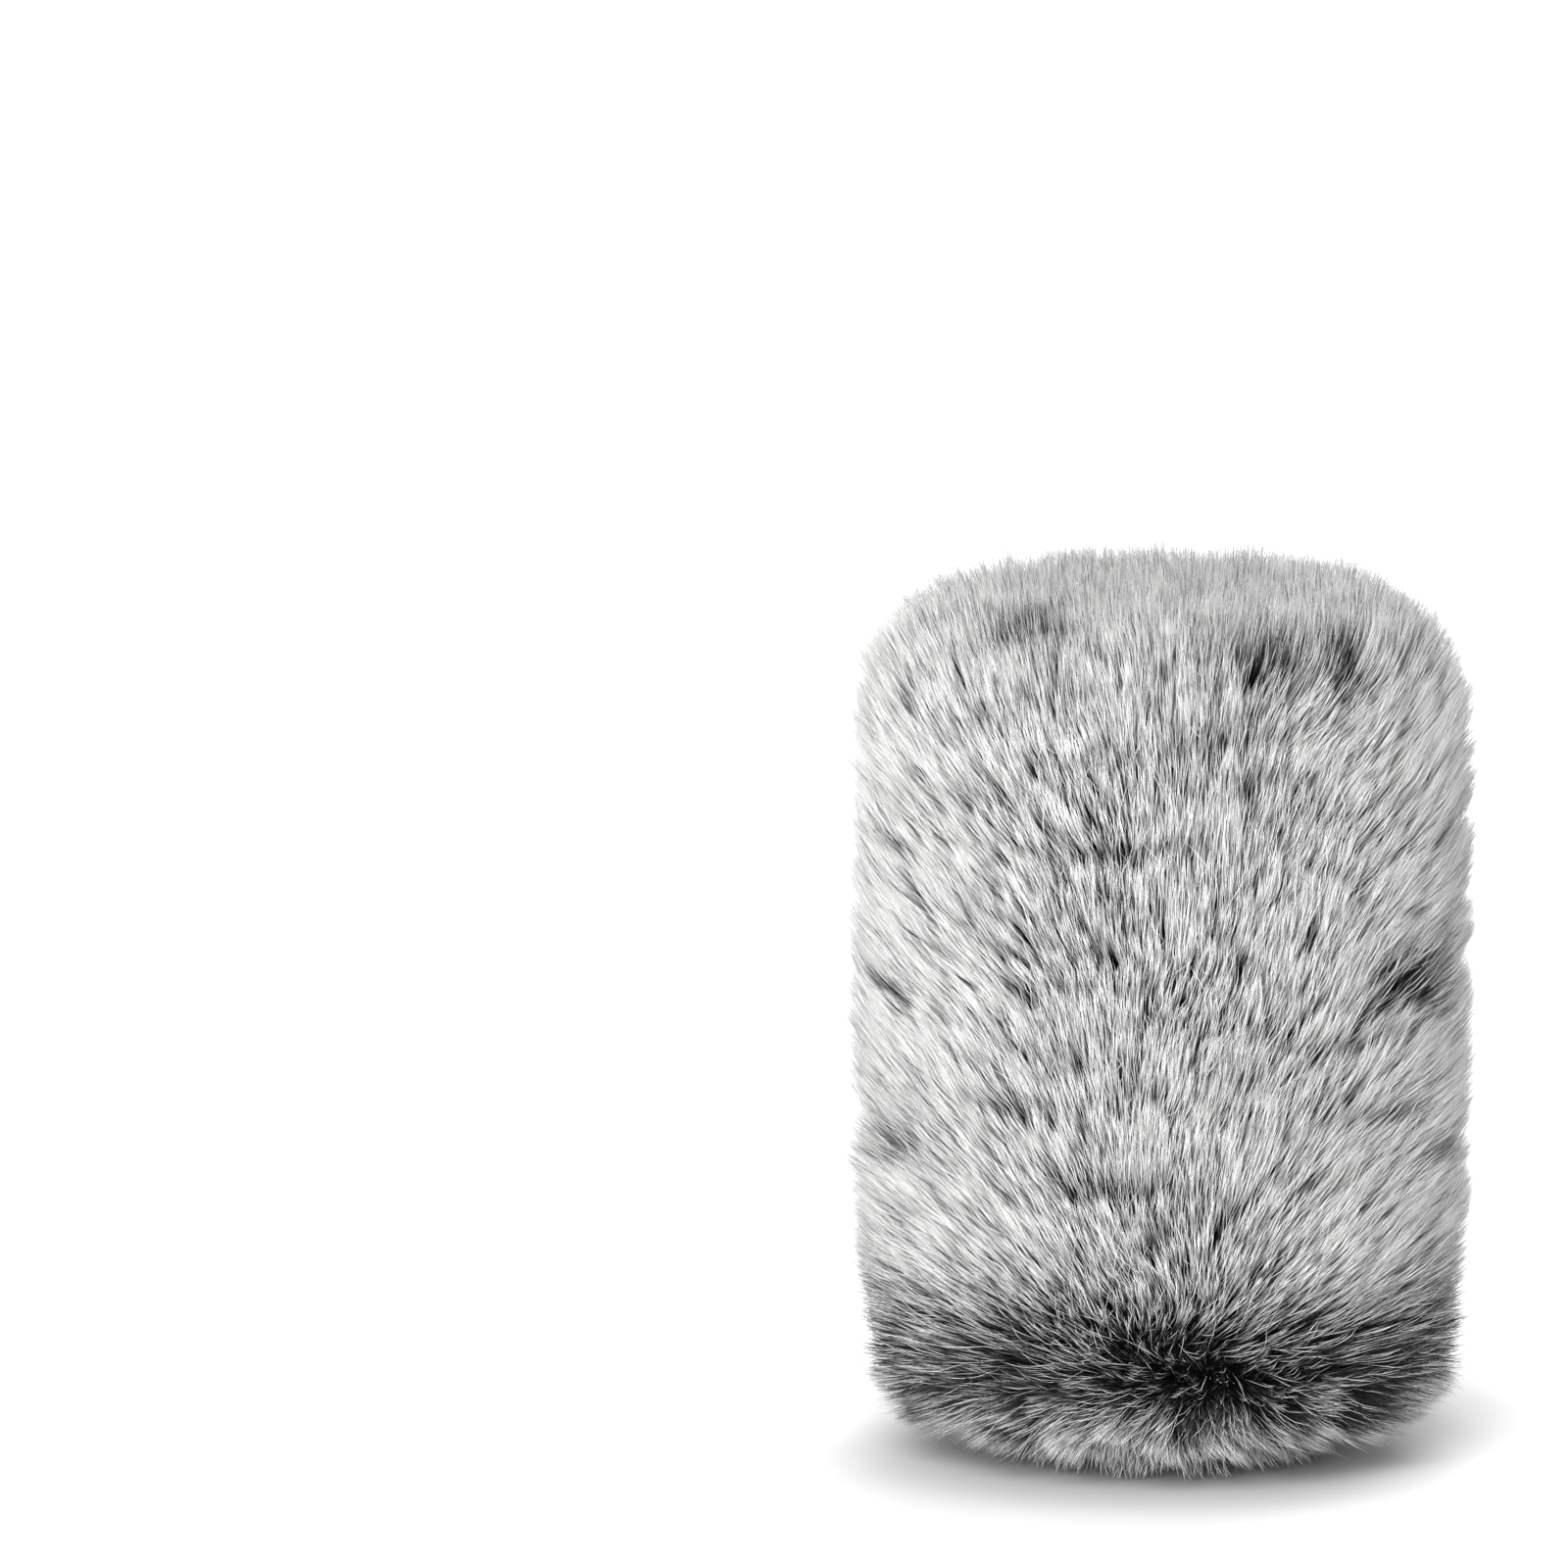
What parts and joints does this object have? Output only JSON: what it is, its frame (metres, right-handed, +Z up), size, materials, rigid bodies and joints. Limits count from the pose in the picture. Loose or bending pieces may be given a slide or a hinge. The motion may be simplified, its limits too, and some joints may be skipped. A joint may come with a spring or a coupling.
{
  "type": "furry windscreen",
  "caption": "Round-ended furry windscreen: a foam core with a blind bore for a slim microphone, inside a sewn grey fake-fur cover with an elastic neck.",
  "frame": {"origin": "middle of the resting face, the flat ring of pile round the neck, under the middle of the bore", "axes": "+Z up along the bore's axis, from the neck to the crown; -Y is the front; +Y is the back, where the side panel is closed"},
  "size_m": [0.063, 0.063, 0.0891],
  "materials": {
    "foam": "open-cell charcoal foam, matt",
    "fur": "dense combed pile, near-black roots and pale grey tips, soft sheen",
    "tape": "black knitted stretch tape, matt",
    "elastic": "black braided elastic, matt",
    "thread": "dark grey twisted thread, satin"
  },
  "bodies": {
    "root": {"foam_core": "foam", "fur_side_panel": "fur", "fur_crown_panel": "fur", "fur_base_panel": "fur", "neck_binding": "tape", "neck_elastic": "elastic", "side_seam_thread": "thread", "crown_seam_thread": "thread", "base_seam_thread": "thread", "hem_seam_thread": "thread"}
  },
  "joints": []
}
